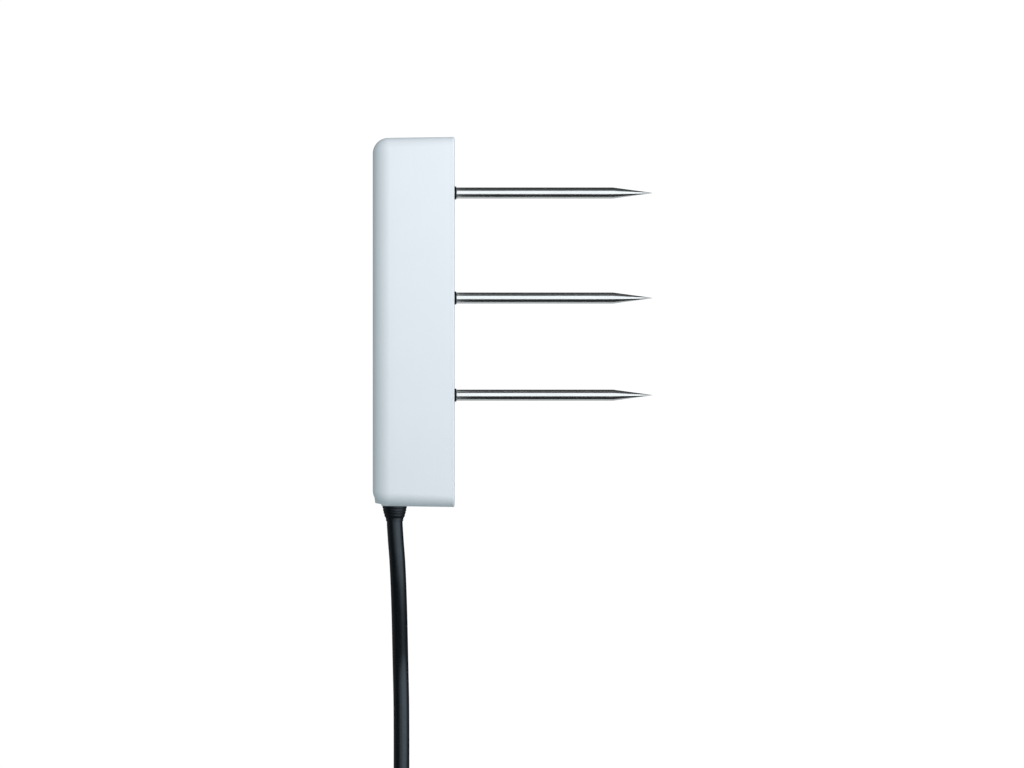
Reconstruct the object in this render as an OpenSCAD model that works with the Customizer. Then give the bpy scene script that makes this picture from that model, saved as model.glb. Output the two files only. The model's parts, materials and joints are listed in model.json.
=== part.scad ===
// Soil moisture sensor with three steel needles, lying on one side face.
// +X is the way the needles point, +Y points away from the cable and +Z is up.
// The origin is under the middle of the housing and its needles, on the surface that they lie on.

/* [Housing] */
// Length of the housing along the row of needles, at the needle face
housing_length = 93; // [91:0.5:96]
// Width of the housing between its two side faces
housing_width = 24; // [23:0.5:28]
// Depth of the housing from its back to the needle face
housing_depth = 20.5; // [20:0.5:24]
// Thickness of the housing's walls
wall = 2.2; // [1.6:0.1:2.4]
// Draft of the two ends, in degrees
end_draft = 0.8; // [0:0.1:1.5]
// Radius of the edges around the back
back_radius = 3.8; // [3:0.1:4.2]
// Radius of the four edges that run from the back to the needle face
end_radius = 2.8; // [2:0.1:3.5]
// Thickness of the rim of the needle plate, which covers the mouth of the housing
plate_rim = 0.6; // [0.4:0.1:1]

/* [Needles] */
// Length of a needle outside the housing
needle_length = 50; // [40:1:60]
// Diameter of a needle
needle_d = 2.8; // [2.6:0.1:3]
// Length of a needle's point
point_length = 10; // [6:0.5:14]
// Place of the upper needle along the housing
upper_needle_y = 32.6; // [31.5:0.1:33]
// Place of the middle needle along the housing
middle_needle_y = 6.1; // [5.5:0.1:6.5]
// Place of the lower needle along the housing
lower_needle_y = -18.4; // [-19:0.1:-18]

/* [Cable] */
// Diameter of the cable's jacket
cable_d = 4; // [3.8:0.1:4]
// Distance from the housing's back to the middle of the cable exit
exit_from_back = 5.4; // [5.2:0.1:6]
// Turns side by side in one layer of the coil
turns_per_layer = 7; // [6:1:7]
// Layers of turns in the coil
coil_layers = 4; // [3:1:4]
// Radius at the middle of the coil's turns
coil_mean_r = 28.95; // [28:0.05:29.5]

/* [Hidden] */

$fn = 48;
gap = 0.05;   // running clearance between pieces that are assembled by hand
over = 0.5;   // how far a cutting shape runs past what it cuts

// Housing planes
back_x = -(housing_depth + needle_length) / 2;
face_x = back_x + housing_depth;
tip_x = face_x + needle_length;
rim_x = face_x - plate_rim;
mid_z = housing_width / 2;
half_length = housing_length / 2;
back_half_length = half_length - housing_depth * tan(end_draft);
cavity_half_length = half_length - wall - 0.3;
ball_facets = 32;
ball_r = back_radius / cos(180 / ball_facets);  // a faceted ball this big just touches the true flats
spigot = 1.6;
spigot_x = rim_x - spigot;

// Needle stack, from the plate towards the back
needle_ys = [upper_needle_y, middle_needle_y, lower_needle_y];
rod_r = needle_d / 2;
neck_r = 1.15;
tail_r = 1.25;
seal_r = 1.65;
seal_stands_out = 0.5;
rod_root_x = face_x + seal_stands_out;
collar_r = 3;
collar_h = 1.2;
board_front = spigot_x - collar_h;
board_t = 1.6;
board_back = board_front - board_t;
washer_r = 2.6;
washer_t = 0.5;
nut_flats = 5;
nut_h = 2;
nut_r = nut_flats / 2 / cos(30);
nut_x = board_back - washer_t - nut_h;
tail_x = nut_x - 0.65;

// Circuit board and what it carries: [y, z, length along Y, length along Z, height]
board_half_length = 43;
board_half_width = 9.4;
mcu = [19, 12, 9, 9, 1.1];
crystal_can = [12, 17, 3.2, 2.5, 0.8];
osc = [-4.2, 15.5, 4.9, 6, 1.5];
coil_choke = [-10.5, 8, 4, 4, 1.8];
regulator = [-37.5, 16, 6.5, 7, 1.6];
diode = [-36.5, 6, 4.3, 2.6, 2.1];
bulk = [38.8, 12, 5.3, 5.3, 5.4];
bead = [6, 6.8, 2, 3.2, 2.4];
ceramic_size = [2, 1.25, 0.85];
ceramic_places = [[26.5, 7], [26.5, 17], [11.5, 6.5], [-0.5, 5.5], [-23.5, 18], [-30, 18.5]];
resistor_size = [1.6, 0.8, 0.5];
resistor_places = [[15, 4.6], [18, 4.6], [21, 4.6], [-5, 9.6], [-5, 7.2], [-11, 15], [-11, 17.5]];

// Cable exit and what holds the cable
exit_x = back_x + exit_from_back;
exit_z = mid_z;
cable_r = cable_d / 2;
bore_r = 2.05;
boss_r = 4.9;
boss_end_y = -half_length + 0.15;
boss_edge_y = -half_length + 0.75;
boss_step_y = -half_length + 0.5;
relief_r = 3.1;
relief_tip_y = -50.2;
relief_neck_r = 2.6;
relief_flange_r = 3.1;
relief_flange_y = -cavity_half_length + 1.5;
joint_y = -half_length + 0.1;
jacket_end_y = -38.5;
crimp_r = 2.8;
crimp_l = 2;

// Conductors: each leaves the jacket's end, turns once and meets its solder joint square on
conductor_r = 0.5;
conductor_bend_r = 3;
solder_r = 0.9;
solder_h = 0.5;
power_from = [0, 1];        // from the cable's centre, along X and Z
power_turn_y = -31;
data_from = [0.87, -0.5];
data_turn_y = -34;
ground_from = [-0.87, -0.5];
ground_turn_y = -28;

// Coil of cable, held by two ties
layer_reach = (turns_per_layer - 1) / 2 * cable_d;
coil_inner_r = coil_mean_r - layer_reach - cable_r;
coil_outer_r = coil_mean_r + layer_reach + cable_r;
tie_t = 0.8;
tie_w = 4.8;
tie_angles = [130, 345];
coil_base = tie_t + gap;
coil_height = coil_layers * cable_d;
coil_top = coil_base + coil_height;
coil_centre = [12.7, -158.5];

// Route of the cable from the housing down to the coil
LEAD = [
    [-29.85, -46.4, 12], [-29.85, -50.2, 12], [-29.7, -53, 11.9], [-29.5, -56, 11.7],
    [-29.2, -60, 11.3], [-28.96, -65, 10.4], [-28.8, -70, 8.9], [-28.68, -75, 7],
    [-28.6, -80, 4.9], [-28.52, -85, 3], [-28.42, -90, 2.15], [-28.3, -96, 2], [-28.25, -104, 2],
    [-28.25, -112, 2], [-28.25, -120, 2], [-28.25, -128, 2], [-28.25, -136, 2.1],
    [-28.25, -143, 2.35]
];
// Route of the cable from the coil's last turn to the plug that lies on the coil
TAIL = [
    [-25.8, -172.4, 15.3], [-22.8, -178.8, 16.3], [-18.9, -184.4, 17.5], [-16.3, -187.2, 18.2],
    [-12.6, -190.3, 18.8], [-8.2, -192.2, 19.3], [-3.4, -192.9, 20.1], [1.31, -192.26, 20.9]
];

// Plug, lying on the coil
plug_at = [29.5, -182, 20.9];
plug_heading = 20;
plug_shaft_r = 1.75;
plug_core_r = 1;
body_r = 4;
body_l = 18;
boot_l = 12;
sleeve_l = 7.2;
insulator_l = 0.7;
ring_l = 2.2;
tip_l = 3.2;
ring_from = sleeve_l + insulator_l;
tip_from = ring_from + ring_l + insulator_l;

// A cylinder of radius r from x0 to x1, along X through [y, z]
module rod_x(x0, x1, r, y = 0, z = 0)
    translate([x0, y, z]) rotate([0, 90, 0]) cylinder(h = x1 - x0, r = r);

// A cylinder of radius r from y0 to y1, along Y through the cable exit
module rod_y(y0, y1, r)
    translate([exit_x, y1, exit_z]) rotate([90, 0, 0]) cylinder(h = y1 - y0, r = r);

// A ring from x0 to x1, along X through [y, mid_z]
module ring_x(x0, x1, outer, inner, y)
    difference() {
        rod_x(x0, x1, outer, y, mid_z);
        rod_x(x0 - over, x1 + over, inner, y, mid_z);
    }

// A flat rectangle of length l and width w, with round corners of radius r
module rounded_rect(l, w, r)
    union() {
        square([l - 2 * r, w], center = true);
        square([l, w - 2 * r], center = true);
        for (x = [-1, 1], y = [-1, 1])
            translate([x * (l / 2 - r), y * (w / 2 - r)]) circle(r);
    }

// A block on the back of the board, for a footprint [y, z, length, width, height]
module on_board(f, lift = 0, grow = 0)
    translate([board_back - f[4] - grow, f[0] - f[2] / 2 - grow, f[1] - f[3] / 2 - grow])
        cube([f[4] - lift + grow, f[2] + 2 * grow, f[3] + 2 * grow]);

// The outside of the housing, rounded all round its back and drafted at its ends
module housing_block()
    hull() {
        for (side = [-1, 1], z = [back_radius, housing_width - back_radius])
            translate([back_x + back_radius, side * (back_half_length - back_radius), z])
                sphere(ball_r, $fn = ball_facets);
        for (side = [-1, 1], z = [end_radius, housing_width - end_radius])
            rod_x(rim_x - 0.5, rim_x, end_radius, side * (half_length - end_radius), z, $fn = ball_facets);
    }

// The raised ring around the cable exit, with a step down to the strain relief
module exit_boss()
    translate([exit_x, 0, exit_z]) rotate([90, 0, 0])
        rotate_extrude()
            polygon([[0, cavity_half_length - 1], [boss_r, cavity_half_length - 1],
                     [boss_r, -boss_edge_y], [relief_r + 0.3, -boss_step_y],
                     [relief_r + 0.2, -boss_end_y], [0, -boss_end_y]]);

module housing_shell()
    color("white")
        difference() {
            union() {
                housing_block();
                exit_boss();
            }
            translate([back_x + wall, -cavity_half_length, wall])
                cube([housing_depth, 2 * cavity_half_length, housing_width - 2 * wall]);
            rod_y(-half_length - over, -cavity_half_length + over, relief_neck_r + gap);
        }

module needle_plate()
    color("white")
        difference() {
            union() {
                translate([rim_x, 0, mid_z]) rotate([0, 90, 0])
                    linear_extrude(plate_rim) rounded_rect(housing_width, housing_length, end_radius);
                translate([spigot_x, gap - cavity_half_length, wall + gap])
                    cube([spigot + plate_rim / 2, 2 * (cavity_half_length - gap),
                          housing_width - 2 * (wall + gap)]);
            }
            for (y = needle_ys) rod_x(spigot_x - over, face_x + over, seal_r + gap, y, mid_z);
        }

// The cast block, with a pocket for each piece that it holds
module potting()
    color("dimgray")
        difference() {
            translate([back_x + wall + gap, gap - cavity_half_length, wall + gap])
                cube([spigot_x - gap - back_x - wall - gap, 2 * (cavity_half_length - gap),
                      housing_width - 2 * (wall + gap)]);
            for (y = needle_ys) {
                rod_x(board_front - over, spigot_x + over, collar_r + gap, y, mid_z);
                rod_x(nut_x - gap, board_back + over, nut_r + 2 * gap, y, mid_z);
                rod_x(tail_x - gap, nut_x, tail_r + gap, y, mid_z);
            }
            translate([board_back - gap, -board_half_length - gap, mid_z - board_half_width - gap])
                cube([board_t + 2 * gap, 2 * (board_half_length + gap), 2 * (board_half_width + gap)]);
            for (f = [mcu, crystal_can, osc, coil_choke, regulator, diode, bulk, bead])
                on_board(f, lift = -over, grow = gap);
            for (p = ceramic_places) on_board(concat(p, ceramic_size), lift = -over, grow = gap);
            for (p = resistor_places) on_board(concat(p, resistor_size), lift = -over, grow = gap);
            conductor(power_from, power_turn_y, conductor_r + gap);
            conductor(data_from, data_turn_y, conductor_r + gap);
            conductor(ground_from, ground_turn_y, conductor_r + gap);
            for (p = solder_places)
                rod_x(board_back - solder_h - gap, board_back, solder_r + gap, p[0], p[1]);
            rod_y(-half_length, relief_flange_y + gap, relief_flange_r + gap);
            rod_y(relief_flange_y, relief_flange_y + crimp_l + 2 * gap, crimp_r + gap);
            rod_y(relief_flange_y, jacket_end_y + gap, bore_r + gap);
        }

// One needle: point, rod, neck under the seal, and tail through the board
module needle(y)
    color("gainsboro")
        translate([0, y, mid_z]) rotate([0, 90, 0])
            rotate_extrude()
                polygon([[0, tail_x], [tail_r, tail_x], [tail_r, spigot_x], [neck_r, spigot_x],
                         [neck_r, rod_root_x], [rod_r, rod_root_x], [rod_r, tip_x - point_length],
                         [0.05, tip_x], [0, tip_x]]);

module needle_upper() needle(upper_needle_y);

module needle_middle() needle(middle_needle_y);

module needle_lower() needle(lower_needle_y);

module needle_seal(y)
    color("black") ring_x(spigot_x, rod_root_x, seal_r, neck_r + gap, y);

module needle_seal_upper() needle_seal(upper_needle_y);

module needle_seal_middle() needle_seal(middle_needle_y);

module needle_seal_lower() needle_seal(lower_needle_y);

module needle_collars()
    color("goldenrod")
        for (y = needle_ys) ring_x(board_front, spigot_x, collar_r, tail_r + gap, y);

module needle_washers()
    color("silver")
        for (y = needle_ys) ring_x(board_back - washer_t, board_back, washer_r, tail_r + gap, y);

module needle_nuts()
    color("silver")
        for (y = needle_ys)
            difference() {
                translate([nut_x, y, mid_z]) rotate([0, 90, 0]) cylinder(h = nut_h, r = nut_r, $fn = 6);
                rod_x(nut_x - over, nut_x + nut_h + over, tail_r + gap, y, mid_z);
            }

module circuit_board()
    color("darkgreen")
        difference() {
            translate([board_back, -board_half_length, mid_z - board_half_width])
                cube([board_t, 2 * board_half_length, 2 * board_half_width]);
            for (y = needle_ys) rod_x(board_back - over, board_front + over, tail_r + gap, y, mid_z);
        }

// A chip body with rows of leads: on two sides along Z, and on all four when square is true
module chip(f, body, pitch, count, square = false)
    union() {
        on_board([f[0], f[1], body[0], body[1], f[4]]);
        for (i = [0 : count - 1]) {
            place = (i - (count - 1) / 2) * pitch;
            on_board([f[0] + place, f[1], 0.4, f[3], 0.5]);
            if (square) on_board([f[0], f[1] + place, f[2], 0.4, 0.5]);
        }
    }

module microcontroller() color("black") chip(mcu, [7, 7], 0.8, 8, square = true);

module oscillator_chip() color("black") chip(osc, [4.9, 3.9], 1.27, 4);

module crystal()
    color("silver")
        union() {
            on_board([crystal_can[0], crystal_can[1], crystal_can[2], crystal_can[3], 0.3]);
            on_board([crystal_can[0], crystal_can[1], 2.8, 2.1, crystal_can[4]]);
        }

module voltage_regulator()
    color("black")
        union() {
            on_board([regulator[0], regulator[1], 6.5, 3.5, regulator[4]]);
            on_board([regulator[0], regulator[1] + 2.5, 3, 2, 0.3]);
            for (i = [-1, 0, 1]) on_board([regulator[0] + 2.3 * i, regulator[1] - 2.5, 0.7, 2, 0.3]);
        }

module inductor()
    color("darkslategray")
        union() {
            on_board([coil_choke[0], coil_choke[1], 4, 4, 0.6]);
            rod_x(board_back - coil_choke[4], board_back - 0.3, 1.9, coil_choke[0], coil_choke[1]);
        }

module bulk_capacitor()
    color("lightgray")
        union() {
            on_board([bulk[0], bulk[1], bulk[2], bulk[3], 0.9]);
            rod_x(board_back - bulk[4], board_back - 0.5, 2.5, bulk[0], bulk[1]);
        }

module ceramic_capacitors()
    color("tan")
        for (p = ceramic_places) on_board(concat(p, ceramic_size));

module resistors()
    color("dimgray")
        for (p = resistor_places) on_board(concat(p, resistor_size));

module surge_diode()
    color("black")
        union() {
            on_board([diode[0], diode[1], 3.5, diode[3], diode[4]]);
            on_board([diode[0], diode[1], diode[2], 1.4, 0.4]);
        }

// The bead that feels the middle needle's temperature, on two short leads
module thermistor()
    color("saddlebrown")
        union() {
            for (side = [-1, 1]) {
                translate([board_back - 1.4, bead[0], bead[1] + 0.6 * side]) sphere(1);
                rod_x(board_back - 1.4, board_back, 0.2, bead[0], bead[1] + 0.6 * side);
            }
            translate([board_back - 1.4, bead[0], bead[1] - 0.6]) cylinder(h = 1.2, r = 1);
        }

// One conductor of radius r: along Y from the jacket's end, round a bend, then along X to the board
module conductor(from, turn_y, r)
    translate([exit_x + from[0], turn_y, exit_z + from[1]]) {
        rotate([90, 0, 0]) cylinder(h = turn_y - jacket_end_y, r = r, $fn = 24);
        translate([conductor_bend_r, 0, 0]) rotate([0, 0, 90])
            rotate_extrude(angle = 90, $fn = 24) translate([conductor_bend_r, 0]) circle(r, $fn = 24);
        translate([conductor_bend_r, conductor_bend_r, 0]) rotate([0, 90, 0])
            cylinder(h = board_back - solder_h - exit_x - from[0] - conductor_bend_r, r = r, $fn = 24);
    }

solder_places = [
    for (c = [[power_from, power_turn_y], [data_from, data_turn_y], [ground_from, ground_turn_y]])
        [c[1] + conductor_bend_r, exit_z + c[0][1]]
];

module conductor_power() color("whitesmoke") union() conductor(power_from, power_turn_y, conductor_r);

module conductor_data() color("orangered") union() conductor(data_from, data_turn_y, conductor_r);

module conductor_ground() color("dimgray") union() conductor(ground_from, ground_turn_y, conductor_r);

module solder_joints()
    color("silver")
        for (p = solder_places) rod_x(board_back - solder_h, board_back, solder_r, p[0], p[1]);

module cable_jacket_end() color("black") rod_y(joint_y, jacket_end_y, cable_r);

module cable_crimp_ring()
    color("goldenrod")
        difference() {
            rod_y(relief_flange_y + gap, relief_flange_y + gap + crimp_l, crimp_r);
            rod_y(relief_flange_y - over, relief_flange_y + crimp_l + over, bore_r);
        }

// Flange inside the wall, neck through it, and a flared sleeve outside it
module strain_relief()
    color("black")
        translate([exit_x, 0, exit_z]) rotate([90, 0, 0])
            rotate_extrude()
                polygon([[bore_r, -relief_flange_y], [relief_flange_r, -relief_flange_y],
                         [relief_flange_r, cavity_half_length], [relief_neck_r, cavity_half_length],
                         [relief_neck_r, -boss_end_y], [relief_r, -boss_end_y],
                         [3, 46.95], [2.9, 47.5], [2.68, 48.3], [2.5, 48.95], [2.22, 49.45],
                         [2.15, -relief_tip_y], [bore_r, -relief_tip_y]]);

function unit(v) = v / norm(v);

// Direction of the route at its point i
function along(route, i) = unit(route[min(i + 1, len(route) - 1)] - route[max(i - 1, 0)]);

// The ring of points around the route's point i, for a tube of radius r with the given sides
function ring_points(route, i, r, sides) =
    let (ahead = along(route, i), across = unit(cross(ahead, [0, 0, 1])), up = cross(across, ahead))
    [for (k = [0 : sides - 1]) route[i] + r * (cos(360 * k / sides) * across + sin(360 * k / sides) * up)];

// A closed tube swept along a route
module tube(route, r, sides = 8) {
    last = len(route) - 1;
    rings = [for (i = [0 : last]) each ring_points(route, i, r, sides)];
    walls = [for (i = [0 : last - 1], k = [0 : sides - 1])
        let (a = i * sides + k, b = i * sides + (k + 1) % sides)
        each [[a, b, b + sides], [a, b + sides, a + sides]]];
    first_cap = [for (k = [1 : sides - 2]) [0, k + 1, k]];
    end = last * sides;
    last_cap = [for (k = [1 : sides - 2]) [end, end + k, end + k + 1]];
    polyhedron(rings, concat(walls, first_cap, last_cap));
}

module cable_lead() color("black") tube(LEAD, cable_r);

module cable_tail() color("black") tube(TAIL, cable_r);

// The section of the coil's bundle of turns, grown by a margin, with round corners of radius r
module bundle_section(margin, r)
    translate([coil_mean_r, coil_base + coil_height / 2])
        rounded_rect(coil_outer_r - coil_inner_r + 2 * margin, coil_height + 2 * margin, r);

module cable_coil()
    color("black")
        translate([coil_centre[0], coil_centre[1], 0])
            rotate_extrude() bundle_section(0, cable_r);

// A strap around the bundle at each tie angle, with its locking head outside
module coil_ties()
    color("dimgray")
        for (angle = tie_angles)
            translate([coil_centre[0], coil_centre[1], 0]) rotate([90, 0, angle])
                translate([0, 0, -tie_w / 2])
                    linear_extrude(tie_w)
                        union() {
                            difference() {
                                bundle_section(gap + tie_t, cable_r + gap + tie_t);
                                bundle_section(gap, cable_r + gap);
                            }
                            translate([coil_outer_r + gap + tie_t / 2, coil_top - 8])
                                square([4, 5.5]);
                        }

// Places its child in the plug's own frame, with the plug's tip along +X
module at_plug() translate(plug_at) rotate([0, 0, plug_heading]) rotate([0, 90, 0]) children();

module plug_boot()
    color("black")
        at_plug()
            rotate_extrude()
                polygon([[0, -body_l - boot_l], [2.5, -body_l - boot_l], [3.3, -body_l], [0, -body_l]]);

module plug_body()
    color("black")
        at_plug()
            rotate_extrude()
                polygon([[0, -body_l], [3.6, -body_l], [body_r, -body_l + 1], [body_r, -0.8],
                         [3.2, 0], [0, 0]]);

module plug_sleeve()
    color("gold")
        at_plug()
            difference() {
                cylinder(h = sleeve_l, r = plug_shaft_r);
                translate([0, 0, 1]) cylinder(h = sleeve_l, r = plug_core_r + gap);
            }

module plug_ring()
    color("gold")
        at_plug()
            translate([0, 0, ring_from])
                difference() {
                    cylinder(h = ring_l, r = plug_shaft_r);
                    translate([0, 0, -over]) cylinder(h = ring_l + 2 * over, r = plug_core_r + gap);
                }

// The centre contact: a core through the whole shaft, ending in the tip
module plug_tip()
    color("gold")
        at_plug()
            rotate_extrude()
                polygon([[0, 1 + gap], [plug_core_r, 1 + gap], [plug_core_r, tip_from], [1.4, tip_from],
                         [1.15, tip_from + 0.6], [1.75, tip_from + 1.6], [0.6, tip_from + tip_l],
                         [0, tip_from + tip_l]]);

module plug_insulators()
    color("black")
        at_plug()
            for (x = [sleeve_l, ring_from + ring_l])
                translate([0, 0, x])
                    difference() {
                        cylinder(h = insulator_l, r = plug_shaft_r);
                        translate([0, 0, -over])
                            cylinder(h = insulator_l + 2 * over, r = plug_core_r + gap);
                    }

housing_shell();
needle_plate();
potting();
needle_upper();
needle_middle();
needle_lower();
needle_seal_upper();
needle_seal_middle();
needle_seal_lower();
needle_collars();
needle_washers();
needle_nuts();
circuit_board();
microcontroller();
crystal();
oscillator_chip();
voltage_regulator();
inductor();
bulk_capacitor();
ceramic_capacitors();
resistors();
surge_diode();
thermistor();
solder_joints();
conductor_power();
conductor_data();
conductor_ground();
cable_jacket_end();
cable_crimp_ring();
strain_relief();
cable_lead();
cable_coil();
cable_tail();
coil_ties();
plug_boot();
plug_body();
plug_sleeve();
plug_ring();
plug_tip();
plug_insulators();
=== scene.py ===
"""Looks of the soil moisture sensor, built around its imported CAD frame.

Lengths are written in millimetres and turned into metres by MM, because the frame is in metres.
+X is the way the needles point, +Y points away from the cable exit and +Z is up.
"""
import json
import math

import bpy
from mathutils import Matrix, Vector


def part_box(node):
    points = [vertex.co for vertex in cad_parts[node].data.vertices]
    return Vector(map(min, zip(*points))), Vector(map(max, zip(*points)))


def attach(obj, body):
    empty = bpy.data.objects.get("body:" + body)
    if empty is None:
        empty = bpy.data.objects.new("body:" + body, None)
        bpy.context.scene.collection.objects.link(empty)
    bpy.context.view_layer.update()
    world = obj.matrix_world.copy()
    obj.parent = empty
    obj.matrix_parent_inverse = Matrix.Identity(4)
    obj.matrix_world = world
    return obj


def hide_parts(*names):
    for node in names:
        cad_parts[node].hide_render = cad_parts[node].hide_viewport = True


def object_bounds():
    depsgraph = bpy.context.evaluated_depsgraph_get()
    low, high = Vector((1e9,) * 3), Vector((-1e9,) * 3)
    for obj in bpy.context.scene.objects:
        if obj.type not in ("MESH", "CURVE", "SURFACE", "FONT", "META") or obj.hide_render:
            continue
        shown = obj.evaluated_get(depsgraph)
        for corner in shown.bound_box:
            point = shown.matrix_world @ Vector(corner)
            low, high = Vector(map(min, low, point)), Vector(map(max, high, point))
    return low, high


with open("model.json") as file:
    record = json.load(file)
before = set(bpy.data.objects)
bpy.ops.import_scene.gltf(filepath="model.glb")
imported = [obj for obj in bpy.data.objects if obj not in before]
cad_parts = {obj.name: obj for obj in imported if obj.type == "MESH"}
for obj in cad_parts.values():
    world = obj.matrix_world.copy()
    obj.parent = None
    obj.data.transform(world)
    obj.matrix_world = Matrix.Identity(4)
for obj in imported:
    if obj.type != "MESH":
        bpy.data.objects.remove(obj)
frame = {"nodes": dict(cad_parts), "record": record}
cad_low, cad_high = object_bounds()

MM = 0.001
SCENE = bpy.context.scene

# ---------------------------------------------------------------- places, from the frame

shell_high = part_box("housing_shell")[1]
plate_low, plate_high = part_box("needle_plate")
relief_low, relief_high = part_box("strain_relief")

BACK_X = cad_low.x
RIM_X = shell_high.x
FACE_X = plate_high.x
HALF_LENGTH = shell_high.y
WIDTH = shell_high.z
MID_Z = WIDTH / 2
EXIT_X = (relief_low.x + relief_high.x) / 2
NEEDLES = ("upper", "middle", "lower")

WALL = 2.2 * MM
END_WALL = 2.5 * MM
CAVITY_HALF_LENGTH = HALF_LENGTH - END_WALL
END_DRAFT = math.radians(0.8)

# ---------------------------------------------------------------- the cord's facts and route

CABLE_D_MM = 4.0
CABLE_D = CABLE_D_MM * MM
# in millimetres: out of the housing, down to the surface and along it to the coil
LEAD = [
    (-29.85, -46.4, 12), (-29.85, -50.2, 12), (-29.7, -53, 11.9), (-29.5, -56, 11.7),
    (-29.2, -60, 11.3), (-28.96, -65, 10.4), (-28.8, -70, 8.9), (-28.68, -75, 7),
    (-28.6, -80, 4.9), (-28.52, -85, 3), (-28.42, -90, 2.15), (-28.3, -96, 2), (-28.25, -104, 2),
    (-28.25, -112, 2), (-28.25, -120, 2), (-28.25, -128, 2), (-28.25, -136, 2.1),
    (-28.25, -143, 2.35),
]
# in millimetres: up from the coil's last turn and over the coil to the plug's boot
TAIL = [
    (-25.8, -172.4, 15.3), (-22.8, -178.8, 16.3), (-18.9, -184.4, 17.5), (-16.3, -187.2, 18.2),
    (-12.6, -190.3, 18.8), (-8.2, -192.2, 19.3), (-3.4, -192.9, 20.1), (1.31, -192.26, 20.9),
]
ROUTE_STEP = 1.5
TAIL_IN_BOOT = 3

COIL_CENTRE = (12.7, -158.5)
COIL_MEAN_R = 28.95
COIL_BASE = 0.85
COIL_LAYERS = 4
TURNS_PER_LAYER = 7
STEPS_PER_TURN = 40
CLIMB_ASIDE = 0.37
SPIRAL_TURNS = TURNS_PER_LAYER - 1
INNER_TURN_R = COIL_MEAN_R - SPIRAL_TURNS / 2 * CABLE_D_MM
OUTER_TURN_R = COIL_MEAN_R + SPIRAL_TURNS / 2 * CABLE_D_MM
TIE_ANGLES = (130, 345)
TIE_SQUEEZE = math.radians(45)

PLUG_AT = Vector((29.5, -182, 20.9)) * MM
PLUG_HEADING = math.radians(20)
PLUG_AXIS = Vector((math.cos(PLUG_HEADING), math.sin(PLUG_HEADING), 0))


# ---------------------------------------------------------------- node-based materials

class Look:
    """A material being made: its node tree, with short names for what every finish needs."""

    def __init__(self, name, colour, rough, metal=0.0, specular=0.5):
        self.material = bpy.data.materials.new(name)
        self.material.use_nodes = True
        self.material.diffuse_color = (*colour, 1)
        self.tree = self.material.node_tree
        self.surface = self.tree.nodes["Principled BSDF"]
        self.colour, self.rough = colour, rough
        self.surface.inputs["Base Color"].default_value = (*colour, 1)
        self.surface.inputs["Roughness"].default_value = rough
        self.surface.inputs["Metallic"].default_value = metal
        self.surface.inputs["Specular IOR Level"].default_value = specular
        self.place = self.tree.nodes.new("ShaderNodeTexCoord").outputs["Object"]
        self.normal = None

    def link(self, a, b):
        self.tree.links.new(a, b)

    def noise(self, size, detail=3.0, stretch=(1, 1, 1)):
        """Noise whose features are about size across, in metres, and longer along a stretched axis."""
        mapping = self.tree.nodes.new("ShaderNodeMapping")
        mapping.inputs["Scale"].default_value = [1 / (size * s) for s in stretch]
        texture = self.tree.nodes.new("ShaderNodeTexNoise")
        texture.inputs["Scale"].default_value = 1.0
        texture.inputs["Detail"].default_value = detail
        self.link(self.place, mapping.inputs["Vector"])
        self.link(mapping.outputs["Vector"], texture.inputs["Vector"])
        return texture.outputs["Fac"]

    def spread(self, source, low, high):
        """source's middle range, mapped to low..high."""
        node = self.tree.nodes.new("ShaderNodeMapRange")
        node.inputs["From Min"].default_value = 0.3
        node.inputs["From Max"].default_value = 0.7
        node.inputs["To Min"].default_value = low
        node.inputs["To Max"].default_value = high
        self.link(source, node.inputs["Value"])
        return node.outputs["Result"]

    def mottle(self, source, amount, tint=(1, 1, 1)):
        """The base colour, darker by amount where source is low, and tinted there."""
        node = self.tree.nodes.new("ShaderNodeMix")
        node.data_type = "RGBA"
        dark = [c * (1 - amount) * t for c, t in zip(self.colour, tint)]
        node.inputs["A"].default_value = (*dark, 1)
        node.inputs["B"].default_value = (*self.colour, 1)
        self.link(self.spread(source, 0, 1), node.inputs["Factor"])
        self.link(node.outputs["Result"], self.surface.inputs["Base Color"])

    def sheen(self, tint):
        """The tint of what the surface mirrors."""
        self.surface.inputs["Specular Tint"].default_value = (*tint, 1)

    def uneven(self, source, by):
        """The roughness, by this much either way."""
        self.link(self.spread(source, self.rough - by, self.rough + by), self.surface.inputs["Roughness"])

    def bump(self, source, height, strength=1.0):
        """A bump whose relief is height, in metres, on top of any bump made before."""
        node = self.tree.nodes.new("ShaderNodeBump")
        node.inputs["Distance"].default_value = height
        node.inputs["Strength"].default_value = strength
        self.link(source, node.inputs["Height"])
        if self.normal:
            self.link(self.normal, node.inputs["Normal"])
        self.normal = node.outputs["Normal"]
        self.link(self.normal, self.surface.inputs["Normal"])


def housing_plastic():
    """Cool white moulded plastic with a fine eroded grain."""
    look = Look("housing_plastic", (0.79, 0.84, 0.885), 0.46, specular=0.4)
    look.mottle(look.noise(14 * MM), 0.012)
    look.uneven(look.noise(2.5 * MM), 0.04)
    look.bump(look.noise(9 * MM, 1), 0.03 * MM, 0.5)
    look.bump(look.noise(0.22 * MM, 4), 0.006 * MM, 0.8)
    return look.material


def ground_steel():
    """Bright stainless rod with grinding marks along it."""
    look = Look("ground_steel", (0.78, 0.775, 0.76), 0.17, metal=1.0)
    look.mottle(look.noise(3 * MM, 3, (3, 1, 1)), 0.08)
    look.uneven(look.noise(0.25 * MM, 4, (40, 1, 1)), 0.05)
    look.bump(look.noise(0.06 * MM, 3, (60, 1, 1)), 0.0012 * MM, 0.6)
    return look.material


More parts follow.
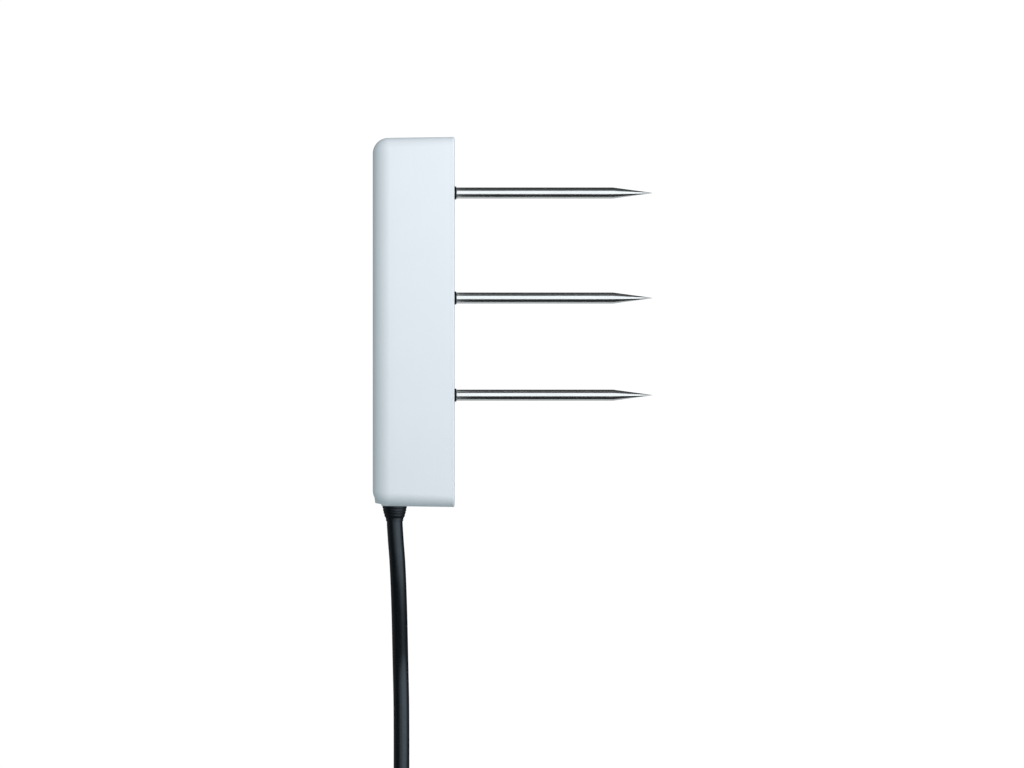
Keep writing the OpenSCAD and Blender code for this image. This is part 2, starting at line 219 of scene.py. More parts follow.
def rubber(name, colour, rough, specular=0.45):
    """Dark rubber with a fine dull grain and a cool sheen."""
    look = Look(name, colour, rough, specular=specular)
    look.sheen((0.8, 0.9, 1.0))
    look.mottle(look.noise(3 * MM), 0.18, (0.95, 1, 1.05))
    look.uneven(look.noise(1.2 * MM), 0.06)
    look.bump(look.noise(0.16 * MM, 4), 0.008 * MM, 0.7)
    return look.material


def jacket():
    """The cable's extruded jacket, with a cool sheen and fine marks drawn out along the lead."""
    look = Look("cable_jacket", (0.005, 0.0063, 0.0078), 0.33, specular=0.45)
    look.sheen((0.76, 0.9, 1.0))
    look.mottle(look.noise(6 * MM), 0.12, (0.95, 1, 1.05))
    look.uneven(look.noise(1.6 * MM), 0.04)
    look.bump(look.noise(0.35 * MM, 3, (1, 12, 1)), 0.006 * MM, 0.7)
    look.bump(look.noise(0.1 * MM, 3), 0.003 * MM, 0.6)
    return look.material


def moulded(name, colour, rough):
    """Plain moulded plastic or resin."""
    look = Look(name, colour, rough)
    look.mottle(look.noise(4 * MM), 0.08)
    look.uneven(look.noise(0.8 * MM), 0.05)
    look.bump(look.noise(0.2 * MM, 4), 0.006 * MM, 0.7)
    return look.material


def turned(name, colour, rough):
    """Turned, drawn or plated metal."""
    look = Look(name, colour, rough, metal=1.0)
    look.mottle(look.noise(1.5 * MM), 0.1)
    look.uneven(look.noise(0.3 * MM, 4), 0.05)
    look.bump(look.noise(0.08 * MM, 3), 0.0015 * MM, 0.6)
    return look.material


def board_laminate():
    """Green solder mask over copper tracks, which show as faint raised streaks."""
    look = Look("board_laminate", (0.015, 0.16, 0.07), 0.32)
    tracks = look.noise(1.4 * MM, 1, (1, 8, 1))
    look.mottle(tracks, 0.45, (1, 0.9, 1))
    look.bump(tracks, 0.03 * MM, 0.5)
    return look.material


MATERIALS = {
    "housing_plastic": housing_plastic(),
    "potting_resin": moulded("potting_resin", (0.03, 0.03, 0.033), 0.22),
    "needle_steel": ground_steel(),
    "seal_rubber": rubber("seal_rubber", (0.003, 0.003, 0.0035), 0.6, 0.2),
    "collar_brass": turned("collar_brass", (0.78, 0.58, 0.28), 0.28),
    "fastener_steel": turned("fastener_steel", (0.6, 0.6, 0.59), 0.3),
    "board_laminate": board_laminate(),
    "chip_resin": moulded("chip_resin", (0.02, 0.02, 0.022), 0.5),
    "ferrite": moulded("ferrite", (0.05, 0.05, 0.055), 0.7),
    "capacitor_can": turned("capacitor_can", (0.75, 0.76, 0.77), 0.25),
    "capacitor_ceramic": moulded("capacitor_ceramic", (0.36, 0.24, 0.13), 0.45),
    "solder": turned("solder", (0.68, 0.69, 0.7), 0.2),
    "wire_white": moulded("wire_white", (0.75, 0.75, 0.72), 0.4),
    "wire_orange": moulded("wire_orange", (0.7, 0.12, 0.02), 0.4),
    "wire_grey": moulded("wire_grey", (0.08, 0.08, 0.08), 0.4),
    "cable_jacket": jacket(),
    "relief_rubber": rubber("relief_rubber", (0.006, 0.0075, 0.0095), 0.4),
    "tie_nylon": moulded("tie_nylon", (0.025, 0.025, 0.028), 0.38),
    "plug_plastic": moulded("plug_plastic", (0.018, 0.018, 0.02), 0.42),
    "plug_contact": turned("plug_contact", (0.86, 0.66, 0.33), 0.16),
}


# ---------------------------------------------------------------- mesh helpers

SHARP_ANGLE = math.radians(32)
LEAST_CORNER = math.radians(12)
CORNERS = ((1, 1), (-1, 1), (-1, -1), (1, -1))


def add_piece(name, points, faces, slot):
    """A smooth mesh piece that rides on the sensor, with the slot's material."""
    mesh = bpy.data.meshes.new(name)
    mesh.from_pydata([tuple(p) for p in points], [], faces)
    mesh.validate()
    piece = bpy.data.objects.new(name, mesh)
    SCENE.collection.objects.link(piece)
    finish_piece(piece, slot)
    return piece


def finish_piece(piece, slot):
    """Smooth shading with true flats, the slot's material, and the root body to ride on."""
    mesh = piece.data
    mesh.polygons.foreach_set("use_smooth", [True] * len(mesh.polygons))
    mesh.set_sharp_from_angle(angle=SHARP_ANGLE)
    mesh.materials.clear()
    mesh.materials.append(MATERIALS[slot])
    weighted = piece.modifiers.get("flats") or piece.modifiers.new("flats", "WEIGHTED_NORMAL")
    weighted.keep_sharp = True
    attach(piece, "root")


def soften(outline, reach, closed=False, steps=4):
    """The outline with each corner rounded, where the round starts reach before the corner."""
    rounded = []
    last = len(outline) - 1
    for i, corner in enumerate(outline):
        if not closed and i in (0, last):
            rounded.append(corner)
            continue
        here = Vector(corner)
        before = Vector(outline[i - 1]) - here
        after = Vector(outline[(i + 1) % len(outline)]) - here
        if before.angle(-after) < LEAST_CORNER:
            rounded.append(corner)
            continue
        start = here + before.normalized() * min(reach, before.length * 0.45)
        stop = here + after.normalized() * min(reach, after.length * 0.45)
        for k in range(steps + 1):
            t = k / steps
            rounded.append(tuple(start * (1 - t) ** 2 + here * 2 * t * (1 - t) + stop * t ** 2))
    return rounded


def across(axis):
    """Two directions square to axis and to each other."""
    side = axis.cross(Vector((0, 0, 1))).normalized()
    return side, side.cross(axis).normalized()


def lathe(name, outline, at, axis, slot, steps=96, closed=False, shape=None):
    """A turned piece. The outline's points are (distance along axis, radius) in millimetres, from one
    end of the axis to the other, or a closed loop for a ring. shape(along, turn) scales the radius."""
    side, up = across(axis)
    points, rows = [], []
    for along, radius in outline:
        centre = at + axis * (along * MM)
        if radius < 1e-6:
            rows.append([len(points)] * steps)
            points.append(centre)
            continue
        rows.append([len(points) + k for k in range(steps)])
        for k in range(steps):
            turn = 2 * math.pi * k / steps
            r = radius * MM * (shape(along, turn) if shape else 1)
            points.append(centre + side * (r * math.cos(turn)) + up * (r * math.sin(turn)))
    faces = []
    following = rows[1:] + (rows[:1] if closed else [])
    for a, b in zip(rows, following):
        for k in range(steps):
            n = (k + 1) % steps
            face = [a[k], b[k], b[n], a[n]]
            faces.append([v for i, v in enumerate(face) if v != face[i - 1]])
    return add_piece(name, points, faces, slot)


def evaluated(piece):
    """A copy of the piece's mesh with its modifiers applied."""
    bpy.context.view_layer.update()
    return bpy.data.meshes.new_from_object(piece.evaluated_get(bpy.context.evaluated_depsgraph_get()))


def carve(piece, tool, operation, slot):
    """Joins the tool to the piece or cuts it away, and then removes the tool."""
    piece.modifiers.clear()
    tool.modifiers.clear()
    boolean = piece.modifiers.new("carve", "BOOLEAN")
    boolean.operation = operation
    boolean.solver = "EXACT"
    boolean.object = tool
    mesh = evaluated(piece)
    piece.modifiers.clear()
    piece.data = mesh
    bpy.data.objects.remove(tool)
    finish_piece(piece, slot)


def round_corners(steps):
    """For each point round a rectangle with round corners: its corner's two signs and its angle."""
    for quarter, signs in enumerate(CORNERS):
        for k in range(steps + 1):
            yield *signs, math.pi / 2 * (quarter + k / steps)


def ring_round(x, half_y, half_z, radius, steps=10):
    """Points round a rectangle with round corners, centred on the needles' plane, at x."""
    return [
        Vector((
            x,
            sy * (half_y - radius) + radius * math.cos(a),
            MID_Z + sz * (half_z - radius) + radius * math.sin(a),
        ))
        for sy, sz, a in round_corners(steps)
    ]


def skin(rings):
    """Points and faces of a closed skin over rings of equal length, with a cap on each end."""
    n = len(rings[0])
    points = [p for ring in rings for p in ring]
    faces = [
        [i * n + k, i * n + (k + 1) % n, (i + 1) * n + (k + 1) % n, (i + 1) * n + k]
        for i in range(len(rings) - 1) for k in range(n)
    ]
    faces.append(list(range(n))[::-1])
    faces.append([(len(rings) - 1) * n + k for k in range(n)])
    return points, faces


# ---------------------------------------------------------------- the housing and its plate

END_ROUND_X, END_ROUND_Y = 3.8 * MM, 3.9 * MM
SIDE_ROUND_X, SIDE_ROUND_Z = 4.4 * MM, 4.3 * MM
CORNER_AT_FACE, CORNER_AT_BACK = 2.8 * MM, 3.5 * MM
LEAST_BACK_CORNER = 0.35 * MM
CAVITY_CORNER = 1.2 * MM
RIM_BELOW_END = 0.15
PLATE_GAP = 0.05 * MM
PARTING_CHAMFER = 0.05 * MM
SIDE_STEPS, ROUND_STEPS = 8, 18


def rounding(from_back, reach, depth):
    """How far a rounded back edge lies inside the straight one, this far from the back."""
    return depth * (1 - math.sqrt(max(0.0, 1 - max(0.0, 1 - from_back / reach) ** 2)))


def cavity_rings():
    """Rings round the inside, from the back to beyond the mouth."""
    floor_x, chamfer, past_mouth = BACK_X + WALL, 0.5 * MM, RIM_X + 1 * MM
    return [
        ring_round(x, CAVITY_HALF_LENGTH - inset, MID_Z - WALL - inset, CAVITY_CORNER)
        for x, inset in ((floor_x, chamfer), (floor_x + chamfer, 0), (past_mouth, 0))
    ]


def housing_rings():
    """Rings round the outside, from the back to the mouth's rim."""
    rim_x = RIM_X - PARTING_CHAMFER
    straight = rim_x - BACK_X - SIDE_ROUND_X
    rings = [
        outside_ring(RIM_X, PARTING_CHAMFER, PARTING_CHAMFER, CORNER_AT_FACE),
        outside_ring(rim_x, 0, 0, CORNER_AT_FACE),
    ]
    for i in range(1, SIDE_STEPS + 1):
        share = i / SIDE_STEPS
        corner = CORNER_AT_FACE + (CORNER_AT_BACK - CORNER_AT_FACE) * share
        rings.append(outside_ring(rim_x - straight * share, 0, 0, corner))
    for i in range(1, ROUND_STEPS + 1):
        from_back = SIDE_ROUND_X * (1 - math.sin(math.pi / 2 * i / ROUND_STEPS))
        inset_y = rounding(from_back, END_ROUND_X, END_ROUND_Y)
        inset_z = rounding(from_back, SIDE_ROUND_X, SIDE_ROUND_Z)
        corner = max(CORNER_AT_BACK - inset_y * 0.85, LEAST_BACK_CORNER)
        rings.append(outside_ring(BACK_X + from_back, inset_y, inset_z, corner))
    return rings[::-1]


def outside_ring(x, inset_y, inset_z, corner):
    """A ring round the outside of the housing at x, with the ends' draft."""
    half_y = HALF_LENGTH - (FACE_X - x) * math.tan(END_DRAFT)
    return ring_round(x, half_y - inset_y, MID_Z - inset_z, corner)


def make_housing():
    """The cup: its outside with the raised ring round the cable exit, less the cavity and the bore."""
    housing = add_piece("housing_moulding", *skin(housing_rings()), "housing_plastic")
    exit_at = Vector((EXIT_X, 0, MID_Z))
    down = Vector((0, -1, 0))
    half = HALF_LENGTH / MM
    foot, shoulder, step, rim = half - 4.4, half - 0.87, half - 0.6, half - RIM_BELOW_END
    boss = lathe("boss", soften([
        (foot, 0), (foot, 5.32), (shoulder, 4.9), (step, 3.4), (rim, 3.3), (rim, 0),
    ], 0.15), exit_at, down, "housing_plastic")
    carve(housing, boss, "UNION", "housing_plastic")
    cavity = add_piece("cavity", *skin(cavity_rings()), "housing_plastic")
    carve(housing, cavity, "DIFFERENCE", "housing_plastic")
    bore_r, inside, outside = 2.65, half - 5, half + 1
    bore = lathe("bore", [
        (inside, 0), (inside, bore_r), (outside, bore_r), (outside, 0),
    ], exit_at, down, "housing_plastic", steps=79)
    carve(housing, bore, "DIFFERENCE", "housing_plastic")
    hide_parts("housing_shell")


def make_plate():
    """The plate: a spigot in the mouth, a flange on the rim, and an opening with a flare for each needle."""
    spigot_y, spigot_z = CAVITY_HALF_LENGTH - PLATE_GAP, MID_Z - WALL - PLATE_GAP
    spigot_corner, lead_in = 1.15 * MM, 0.3 * MM
    flange_x = RIM_X + 0.001 * MM
    edge = 0.12 * MM
    spigot = [
        ring_round(plate_low.x, spigot_y - lead_in, spigot_z - lead_in, spigot_corner - PLATE_GAP),
        ring_round(plate_low.x + lead_in, spigot_y, spigot_z, spigot_corner),
        ring_round(flange_x, spigot_y, spigot_z, spigot_corner),
    ]
    flange = [
        ring_round(x, HALF_LENGTH - inset, MID_Z - inset, CORNER_AT_FACE)
        for x, inset in (
            (flange_x, PARTING_CHAMFER), (RIM_X + PARTING_CHAMFER, 0), (FACE_X - edge, 0),
            (FACE_X - 0.3 * edge, 0.3 * edge), (FACE_X, edge),
        )
    ]
    plate = add_piece("needle_plate_moulding", *skin(spigot + flange), "housing_plastic")
    opening_r, flare_r = 1.7, 2.02
    for name in NEEDLES:
        low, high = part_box("needle_" + name)
        at = Vector((FACE_X, (low.y + high.y) / 2, MID_Z))
        hole = lathe("hole_" + name, [
            (-4, 0), (-4, opening_r), (-0.12, opening_r), (0.2, flare_r), (0.2, 0),
        ], at, Vector((1, 0, 0)), "housing_plastic")
        carve(plate, hole, "DIFFERENCE", "housing_plastic")
    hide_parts("needle_plate")


# ---------------------------------------------------------------- the needles and their seals

# in millimetres
POINT_LENGTH = 10.0
TAIL_R, NECK_R = 1.25, 1.15
SEAL_R, SEAL_BORE = 1.65, 1.2


def make_needle(name):
    """A needle with its tail, its neck through the plate and its long point, and the seal round the neck."""
    node = "needle_" + name
    low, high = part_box(node)
    seal_low, seal_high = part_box("needle_seal_" + name)
    at = Vector((0, (low.y + high.y) / 2, MID_Z))
    ahead = Vector((1, 0, 0))
    tail, neck_from, root, tip = low.x / MM, seal_low.x / MM, seal_high.x / MM, high.x / MM
    rod_r = (high.y - low.y) / 2 / MM
    outline = soften([
        (tail, 0), (tail, TAIL_R), (neck_from, TAIL_R), (neck_from, NECK_R), (root, NECK_R),
        (root, rod_r), (tip - POINT_LENGTH, rod_r), (tip - 0.04, 0.05), (tip, 0),
    ], 0.1)
    needle = lathe(node + "_rod", outline, at, ahead, "needle_steel", steps=64)
    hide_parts(node)
    seal_to = root - 0.02
    outline = soften([
        (neck_from, SEAL_BORE), (neck_from, SEAL_R), (seal_to, SEAL_R), (seal_to, SEAL_BORE),
    ], 0.12, closed=True)
    seal = lathe(node + "_seal_ring", outline, at, ahead, "seal_rubber", steps=64, closed=True)
    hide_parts("needle_seal_" + name)


# ---------------------------------------------------------------- the strain relief and the cord

def make_strain_relief():
    """A flange inside the wall, a neck through it and a flared sleeve with ring grooves outside."""
    bore, neck, wide = 2.05, 2.6, 3.1
    flange_from = -relief_high.y / MM
    wall_from, wall_to = CAVITY_HALF_LENGTH / MM, HALF_LENGTH / MM - RIM_BELOW_END
    tip = -relief_low.y / MM
    outline = [
        (flange_from, bore), (flange_from, wide), (wall_from, wide), (wall_from, neck), (wall_to, neck),
        (wall_to, wide),
    ]
    groove = ((0, 0), (0.08, -0.1), (0.22, -0.13), (0.3, -0.08))
    for along, radius in ((46.85, 3.05), (47.6, 2.9), (48.3, 2.71)):
        outline += [(along + step, radius + change) for step, change in groove]
    outline += [(48.95, 2.54), (49.4, 2.24), (49.75, 2.18), (tip, 2.15), (tip, bore)]
    relief = lathe("strain_relief_sleeve", soften(outline, 0.07, closed=True),
                   Vector((EXIT_X, 0, MID_Z)), Vector((0, -1, 0)), "relief_rubber", closed=True)
    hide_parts("strain_relief")
    return relief


def catmull_rom(route, spacing):
    """Points about spacing apart on the smooth curve through the route's points."""
    points = [Vector(p) for p in route]
    ends = [points[0] * 2 - points[1]] + points + [points[-1] * 2 - points[-2]]
    made = []
    for a, b, c, d in zip(ends, ends[1:], ends[2:], ends[3:]):
        count = max(2, round((c - b).length / spacing))
        for k in range(count):
            t = k / count
            made.append(0.5 * (
                b * 2 + (c - a) * t + (a * 2 - b * 5 + c * 4 - d) * t ** 2
                + (b * 3 - a - c * 3 + d) * t ** 3
            ))
    made.append(points[-1])
    return made


def aside(climb):
    """How far a turn stands aside at this share of its climb from one layer to the next."""
    return CLIMB_ASIDE * CABLE_D_MM * math.sin(math.pi * climb)


def freedom(angle):
    """The share of that which the ties leave an outer turn: none under a tie, all well away from it."""
    nearest = max(math.cos(angle - math.radians(tie)) for tie in TIE_ANGLES)
    share = min(1.0, math.acos(min(1.0, nearest)) / TIE_SQUEEZE)
    return math.sin(math.pi / 2 * share) ** 2


def coil_points():
    """The turns: each layer is a flat spiral, and its last turn climbs to the next layer."""
    turns = COIL_LAYERS * TURNS_PER_LAYER - 1
    made = []
    for k in range(1, turns * STEPS_PER_TURN + 1):
        turn = k / STEPS_PER_TURN
        layer = min(int(turn / TURNS_PER_LAYER), COIL_LAYERS - 1)
        within = turn - layer * TURNS_PER_LAYER
        climb = max(0.0, within - SPIRAL_TURNS)
        start, stop = (OUTER_TURN_R, INNER_TURN_R) if layer % 2 == 0 else (INNER_TURN_R, OUTER_TURN_R)
        a = math.pi + 2 * math.pi * turn
        stands = aside(climb) * freedom(a) if stop > start else -aside(climb)
        radius = start + (stop - start) * min(within, SPIRAL_TURNS) / SPIRAL_TURNS + stands
        z = COIL_BASE + CABLE_D_MM * (0.5 + layer + climb)
        made.append(Vector((
            COIL_CENTRE[0] + radius * math.cos(a), COIL_CENTRE[1] + radius * math.sin(a), z,
        )))
    return made


def make_cord():
    """The whole cable as one curve: the lead, the coil and the tail, which ends inside the plug's boot."""
    coil = coil_points()
    first = Vector((COIL_CENTRE[0] - OUTER_TURN_R, COIL_CENTRE[1], COIL_BASE + CABLE_D_MM / 2))
    inside_boot = Vector(TAIL[-1]) + PLUG_AXIS * TAIL_IN_BOOT
    lead = catmull_rom([*LEAD, first], ROUTE_STEP)
    tail = catmull_rom([coil[-1], *TAIL, inside_boot], ROUTE_STEP)
    line = [p * MM for p in lead + coil + tail[1:]]
    curve = bpy.data.curves.new("signal_cable", "CURVE")
    curve.dimensions = "3D"
    curve.bevel_depth = CABLE_D / 2
    curve.bevel_resolution = 8
    curve.use_fill_caps = True
    spline = curve.splines.new("POLY")
    spline.points.add(len(line) - 1)
    for point, place in zip(spline.points, line):
        point.co = (*place, 1)
    curve.materials.append(MATERIALS["cable_jacket"])
    cord = bpy.data.objects.new("signal_cable", curve)
    SCENE.collection.objects.link(cord)
    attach(cord, "root")
    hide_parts("cable_lead", "cable_coil", "cable_tail")
    return cord


# ---------------------------------------------------------------- the coil's ties and the plug

# in millimetres
TIE_T, TIE_GAP, TIE_W = 0.8, 0.05, 4.8
TIE_EDGE = 0.18
HEAD_OUT, HEAD_TALL, HEAD_DROP, HEAD_EDGE = 4.0, 5.5, 8.0, 0.5


def section_ring(half_w, half_h, radius, middle, place, steps=6):
    """Points round the bundle of turns, in the upright plane that place puts them in."""
    return [
        place(
            middle[0] + sx * (half_w - radius) + radius * math.cos(a),
            middle[1] + sz * (half_h - radius) + radius * math.sin(a),
        )
        for sx, sz, a in round_corners(steps)
    ]


def make_tie(number, degrees):
    """A nylon strap round the bundle, with rounded edges, and its locking head outside."""
    angle = math.radians(degrees)
    outward = Vector((math.cos(angle), math.sin(angle), 0))
    along = Vector((-math.sin(angle), math.cos(angle), 0))
    centre = Vector((*COIL_CENTRE, 0))
    inner_climb = (degrees - 180) % 360 / 360
    slack = aside(inner_climb) / 2
    outer_r = COIL_MEAN_R + TURNS_PER_LAYER * CABLE_D_MM / 2
    half_w = TURNS_PER_LAYER * CABLE_D_MM / 2 + slack
    half_h = COIL_LAYERS * CABLE_D_MM / 2
    middle = (COIL_MEAN_R - slack, COIL_BASE + half_h)
    side, near, far = TIE_W / 2, TIE_GAP, TIE_GAP + TIE_T
    strap_section = [
        (near, -side + TIE_EDGE), (near, side - TIE_EDGE), (near + TIE_EDGE, side),
        (far - TIE_EDGE, side), (far, side - TIE_EDGE), (far, -side + TIE_EDGE),
        (far - TIE_EDGE, -side), (near + TIE_EDGE, -side),
    ]
    rings = []
    for out, sideways in strap_section:
        def place(r, z, sideways=sideways):
            return (centre + outward * r + along * sideways + Vector((0, 0, z))) * MM
        rings.append(section_ring(half_w + out, half_h + out, CABLE_D_MM / 2 + out, middle, place))
    count, n = len(rings), len(rings[0])
    points = [p for ring in rings for p in ring]
    faces = [
        [i * n + k, i * n + (k + 1) % n, (i + 1) % count * n + (k + 1) % n, (i + 1) % count * n + k]
        for i in range(count) for k in range(n)
    ]
    strap = add_piece(f"coil_tie_{number}", points, faces, "tie_nylon")
    head_r = outer_r + TIE_GAP + TIE_T / 2 + HEAD_OUT / 2
    head_z = COIL_BASE + 2 * half_h - HEAD_DROP + HEAD_TALL / 2
    head = bevelled_box(
        f"coil_tie_head_{number}", (centre + outward * head_r + Vector((0, 0, head_z))) * MM,
        (outward, along, Vector((0, 0, 1))), (HEAD_OUT * MM, TIE_W * MM, HEAD_TALL * MM),
        HEAD_EDGE * MM, "tie_nylon",
    )
    return strap, head


def bevelled_box(name, centre, axes, size, edge, slot, steps=3):
    """A box with rounded edges, square to the three axes."""
    rings = []
    for i in range(2 * (steps + 1)):
        lower = i <= steps
        a = math.pi / 2 * ((i if lower else 2 * steps + 1 - i) / steps)
        inset = edge * (1 - math.sin(a))
        depth = edge * (1 - math.cos(a))
        height = -size[2] / 2 + depth if lower else size[2] / 2 - depth
        r = edge - inset + 1e-6
        rings.append([
            centre
            + axes[0] * (sx * (size[0] / 2 - edge) + r * math.cos(b))
            + axes[1] * (sy * (size[1] / 2 - edge) + r * math.sin(b))
            + axes[2] * height
            for sx, sy, b in round_corners(steps)
        ])
    return add_piece(name, *skin(rings), slot)


def make_plug():
    """Boot, body and the three contacts of a small round plug, turned about one axis."""
    def turn_piece(name, node, outline, slot, closed=False, shape=None, reach=0.12):
        outline = soften(outline, reach, closed)
        piece = lathe(name, outline, PLUG_AT, PLUG_AXIS, slot, closed=closed, shape=shape)
        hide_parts(node)
        return piece

    boot_outline = [(-30, 0), (-30, 2.35)]
    for i in range(4):
        x, r = -28.6 + 2.4 * i, 2.55 + 0.16 * i
        boot_outline += [(x - 0.5, r - 0.05), (x - 0.45, r - 0.4), (x + 0.45, r - 0.34), (x + 0.5, r)]
    boot_outline += [(-18, 3.2), (-18, 0)]
    boot = turn_piece("plug_boot_moulding", "plug_boot", boot_outline, "relief_rubber")

    def ribs(along, turn):
        return 1 - 0.035 * (0.5 + 0.5 * math.cos(24 * turn)) if -15.5 < along < -4.5 else 1

    body = turn_piece("plug_body_grip", "plug_body", [
        (-18, 0), (-18, 3.55), (-17, 3.95), (-15.6, 3.97), (-15.4, 3.97), (-4.6, 3.97), (-4.4, 3.97),
        (-0.9, 3.95), (-0.05, 3.2), (0, 0),
    ], "plug_plastic", shape=ribs, reach=0.3)
    sleeve = turn_piece("plug_sleeve_contact", "plug_sleeve", [
        (0, 0), (0, 1.75), (7.2, 1.75), (7.2, 1.05), (1, 1.05), (1, 0),
    ], "plug_contact", reach=0.08)
    ring = turn_piece("plug_ring_contact", "plug_ring", [
        (7.9, 1.05), (7.9, 1.75), (10.1, 1.75), (10.1, 1.05),
    ], "plug_contact", closed=True, reach=0.08)
    tip = turn_piece("plug_tip_contact", "plug_tip", [
        (1.05, 0), (1.05, 1.0), (10.8, 1.0), (10.8, 1.4), (11.4, 1.15), (12.4, 1.75), (13.85, 0.62), (14, 0),
    ], "plug_contact", reach=0.25)
    bands = [
        lathe(f"plug_insulator_{i}", soften([
            (x, 1.05), (x, 1.71), (x + 0.7, 1.71), (x + 0.7, 1.05),
        ], 0.05, True), PLUG_AT, PLUG_AXIS, "plug_plastic", closed=True)
        for i, x in enumerate((7.2, 10.1))
    ]
    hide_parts("plug_insulators")
    return [boot, body, sleeve, ring, tip, *bands]


# ---------------------------------------------------------------- what stays as the CAD made it

def dress_cad_nodes():
    """The sealed inner pieces keep their CAD shapes and get their slot's material."""
    slots = {part["node"]: part["material_slot"] for part in frame["record"]["subparts"]}
    for name, node in frame["nodes"].items():
        if node.hide_render:
            continue
        node.data.materials.clear()
        node.data.materials.append(MATERIALS[slots[name]])
        node.data.polygons.foreach_set("material_index", [0] * len(node.data.polygons))


# ---------------------------------------------------------------- the studio

CAMERA_LENS, SENSOR_WIDTH = 300, 36
CAMERA_PLACE = Vector((-0.24, -15.59, 2165)) * MM
STAGE_REACH = 6.0
FLOOR_GREY, FLOOR_GLOW = 0.07, 0.98
BACKDROP_GLOW = 1.05
WORLD_COLOUR, WORLD_STRENGTH = (0.83, 0.965, 1.0), 0.437

# each softbox: its name, place, size in metres, power in watts and colour
SOFTBOXES = (
    ("key", (0.09, 0.11, 0.27), 0.2, 0.6, (1.0, 0.94, 0.93)),
    ("right_fill", (0.4, 0.03, 0.03), 0.25, 0.5, (1.0, 0.97, 0.96)),
)
SOFTBOX_AIM = Vector((-0.02, 0.02, 0.012))

# each patch of light that the glossy pieces mirror: its direction, the cosines of the angles from it
# where it begins and is full, and its strength; past them all there is a dim glow
MIRRORED_PATCHES = (
    ((0.1, 0.2, 1), 0.79, 0.87, 1.3),
    ((0.85, -0.15, 0.85), 0.76, 1.0, 2.0),
    ((1, 0, 0.3), 0.85, 1.0, 1.2),
    ((0, -0.9, -0.6), 0.75, 1.0, 0.62),
    ((-1, 0, -0.5), 0.6, 1.0, 0.2),
    ((0, 1, 0.3), 0.6, 1.0, 0.06),
)
MIRRORED_GLOW = 0.03


def glow(name, strength, colour=(1, 1, 1)):
    """A material that only shines."""
    material = bpy.data.materials.new(name)
    material.use_nodes = True
    tree = material.node_tree
    tree.nodes.clear()
    light = tree.nodes.new("ShaderNodeEmission")
    light.inputs["Color"].default_value = (*colour, 1)
    light.inputs["Strength"].default_value = strength
    out = tree.nodes.new("ShaderNodeOutputMaterial")
    tree.links.new(light.outputs["Emission"], out.inputs["Surface"])
    return material


def stage_object(name, points, faces, material, seen_by):
    """A floor or backdrop that only the named kinds of ray see."""
    mesh = bpy.data.meshes.new(name)
    mesh.from_pydata(points, [], faces)
    mesh.materials.append(material)
    obj = bpy.data.objects.new(name, mesh)
    SCENE.collection.objects.link(obj)
    for ray in ("camera", "diffuse", "glossy", "transmission", "shadow"):
        setattr(obj, "visible_" + ray, ray in seen_by)
    return obj


def dome(rows=24, columns=48):
    """Points and faces of a sphere of the stage's reach."""
    points, faces = [], []
    for i in range(rows + 1):
        fall = math.pi * i / rows
        for k in range(columns):
            a = 2 * math.pi * k / columns
            points.append((
                STAGE_REACH * math.sin(fall) * math.cos(a), STAGE_REACH * math.sin(fall) * math.sin(a),
                STAGE_REACH * math.cos(fall),
            ))
    for i in range(rows):
        for k in range(columns):
            n = (k + 1) % columns
            faces.append([i * columns + k, i * columns + n, (i + 1) * columns + n, (i + 1) * columns + k])
    return points, faces


def reflection_material():
    """What the glossy pieces mirror: patches of light on a sphere that otherwise glows dimly."""
    material = glow("reflected_studio", 1.0, (0.9, 0.96, 1.0))
    tree = material.node_tree
    emission = tree.nodes["Emission"]
    place = tree.nodes.new("ShaderNodeTexCoord").outputs["Object"]

    def patch(direction, from_cos, to_cos, strength):
        unit = tree.nodes.new("ShaderNodeVectorMath")
        unit.operation = "NORMALIZE"
        tree.links.new(place, unit.inputs[0])
        dot = tree.nodes.new("ShaderNodeVectorMath")
        dot.operation = "DOT_PRODUCT"
        dot.inputs[1].default_value = Vector(direction).normalized()
        tree.links.new(unit.outputs["Vector"], dot.inputs[0])
        fade = tree.nodes.new("ShaderNodeMapRange")
        fade.interpolation_type = "SMOOTHSTEP"
        fade.inputs["From Min"].default_value = from_cos
        fade.inputs["From Max"].default_value = to_cos
        fade.inputs["To Max"].default_value = strength
        tree.links.new(dot.outputs["Value"], fade.inputs["Value"])
        return fade.outputs["Result"]

    glow_value = tree.nodes.new("ShaderNodeValue")
    glow_value.outputs["Value"].default_value = MIRRORED_GLOW
    shine = glow_value.outputs["Value"]
    for direction, from_cos, to_cos, strength in MIRRORED_PATCHES:
        add = tree.nodes.new("ShaderNodeMath")
        add.operation = "ADD"
        tree.links.new(shine, add.inputs[0])
        tree.links.new(patch(direction, from_cos, to_cos, strength), add.inputs[1])
        shine = add.outputs["Value"]
    tree.links.new(shine, emission.inputs["Strength"])
    return material


def make_floor_material():
    """Pale floor that glows, so it reads as white with only a breath of shadow."""
    material = bpy.data.materials.new("pale_floor")
    material.use_nodes = True
    surface = material.node_tree.nodes["Principled BSDF"]
    surface.inputs["Base Color"].default_value = (FLOOR_GREY, FLOOR_GREY, FLOOR_GREY, 1)
    surface.inputs["Roughness"].default_value = 1.0
    surface.inputs["Specular IOR Level"].default_value = 0.0
    surface.inputs["Emission Color"].default_value = (1, 1, 1, 1)
    surface.inputs["Emission Strength"].default_value = FLOOR_GLOW
    return material


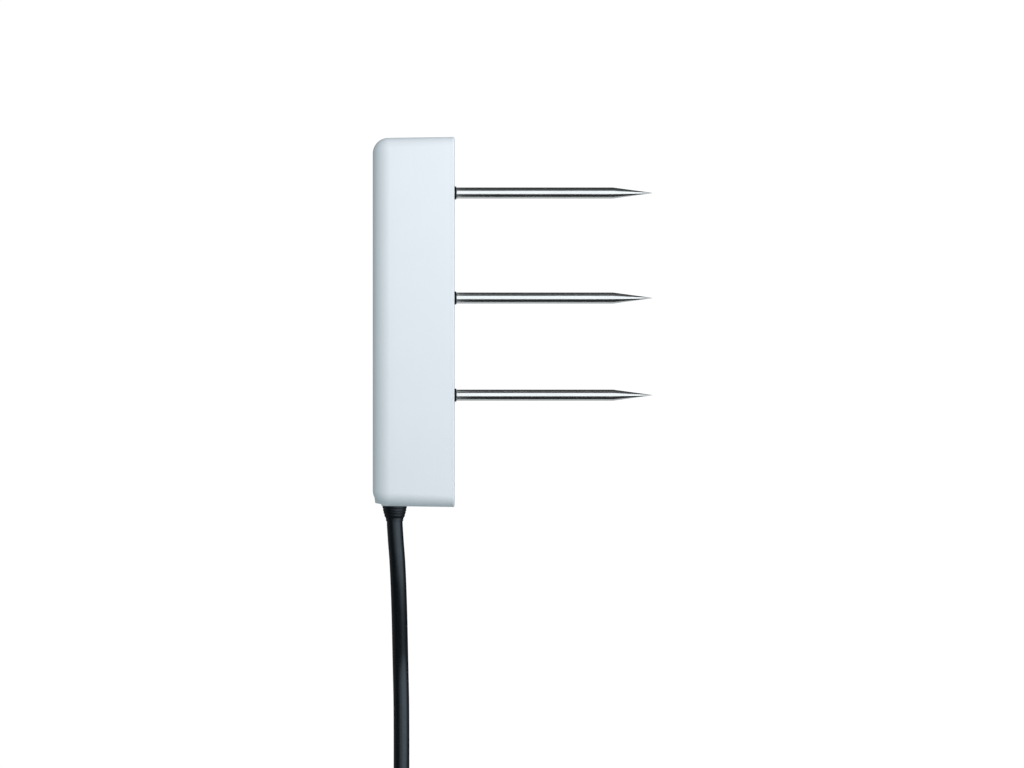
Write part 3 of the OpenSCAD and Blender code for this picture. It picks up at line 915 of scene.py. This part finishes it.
def softbox(name, place, size, power, colour):
    """A square light at place, aimed at the sensor, which nothing mirrors."""
    data = bpy.data.lights.new(name, "AREA")
    data.shape = "SQUARE"
    data.size = size
    data.energy = power
    data.color = colour
    light = bpy.data.objects.new(name, data)
    light.location = place
    aim = SOFTBOX_AIM - Vector(place)
    light.rotation_euler = aim.to_track_quat("-Z", "Y").to_euler()
    light.visible_camera = False
    light.visible_glossy = False
    SCENE.collection.objects.link(light)


def make_camera():
    """The camera, far off and straight above the side that the sensor shows."""
    camera_data = bpy.data.cameras.new("camera")
    camera_data.lens = CAMERA_LENS
    camera_data.sensor_width = SENSOR_WIDTH
    camera_data.clip_start, camera_data.clip_end = 0.05, 30
    camera = bpy.data.objects.new("camera", camera_data)
    camera.location = CAMERA_PLACE
    SCENE.collection.objects.link(camera)
    SCENE.camera = camera


def make_studio():
    """A white floor and backdrop for the camera, what the gloss mirrors, and soft light from all round."""
    reach = STAGE_REACH * 0.99
    corners = [(-reach, -reach, 0), (reach, -reach, 0), (reach, reach, 0), (-reach, reach, 0)]
    stage_object("floor", corners, [[0, 1, 2, 3]], make_floor_material(), ("camera",))
    points, faces = dome()
    stage_object("backdrop", points, faces, glow("white_backdrop", BACKDROP_GLOW), ("camera",))
    stage_object("reflections", points, faces, reflection_material(), ("glossy",))

    world = bpy.data.worlds.new("studio")
    world.use_nodes = True
    background = world.node_tree.nodes["Background"]
    background.inputs["Color"].default_value = (*WORLD_COLOUR, 1)
    background.inputs["Strength"].default_value = WORLD_STRENGTH
    world.cycles_visibility.glossy = False
    world.cycles_visibility.camera = False
    SCENE.world = world
    for details in SOFTBOXES:
        softbox(*details)
    SCENE.view_settings.view_transform = "Standard"


# ---------------------------------------------------------------- everything in order

make_camera()
make_studio()
cord = make_cord()
relief = make_strain_relief()
ties = [piece for i, degrees in enumerate(TIE_ANGLES) for piece in make_tie(i + 1, degrees)]
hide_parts("coil_ties")
plug = make_plug()
make_housing()
make_plate()
for needle_name in NEEDLES:
    make_needle(needle_name)
dress_cad_nodes()
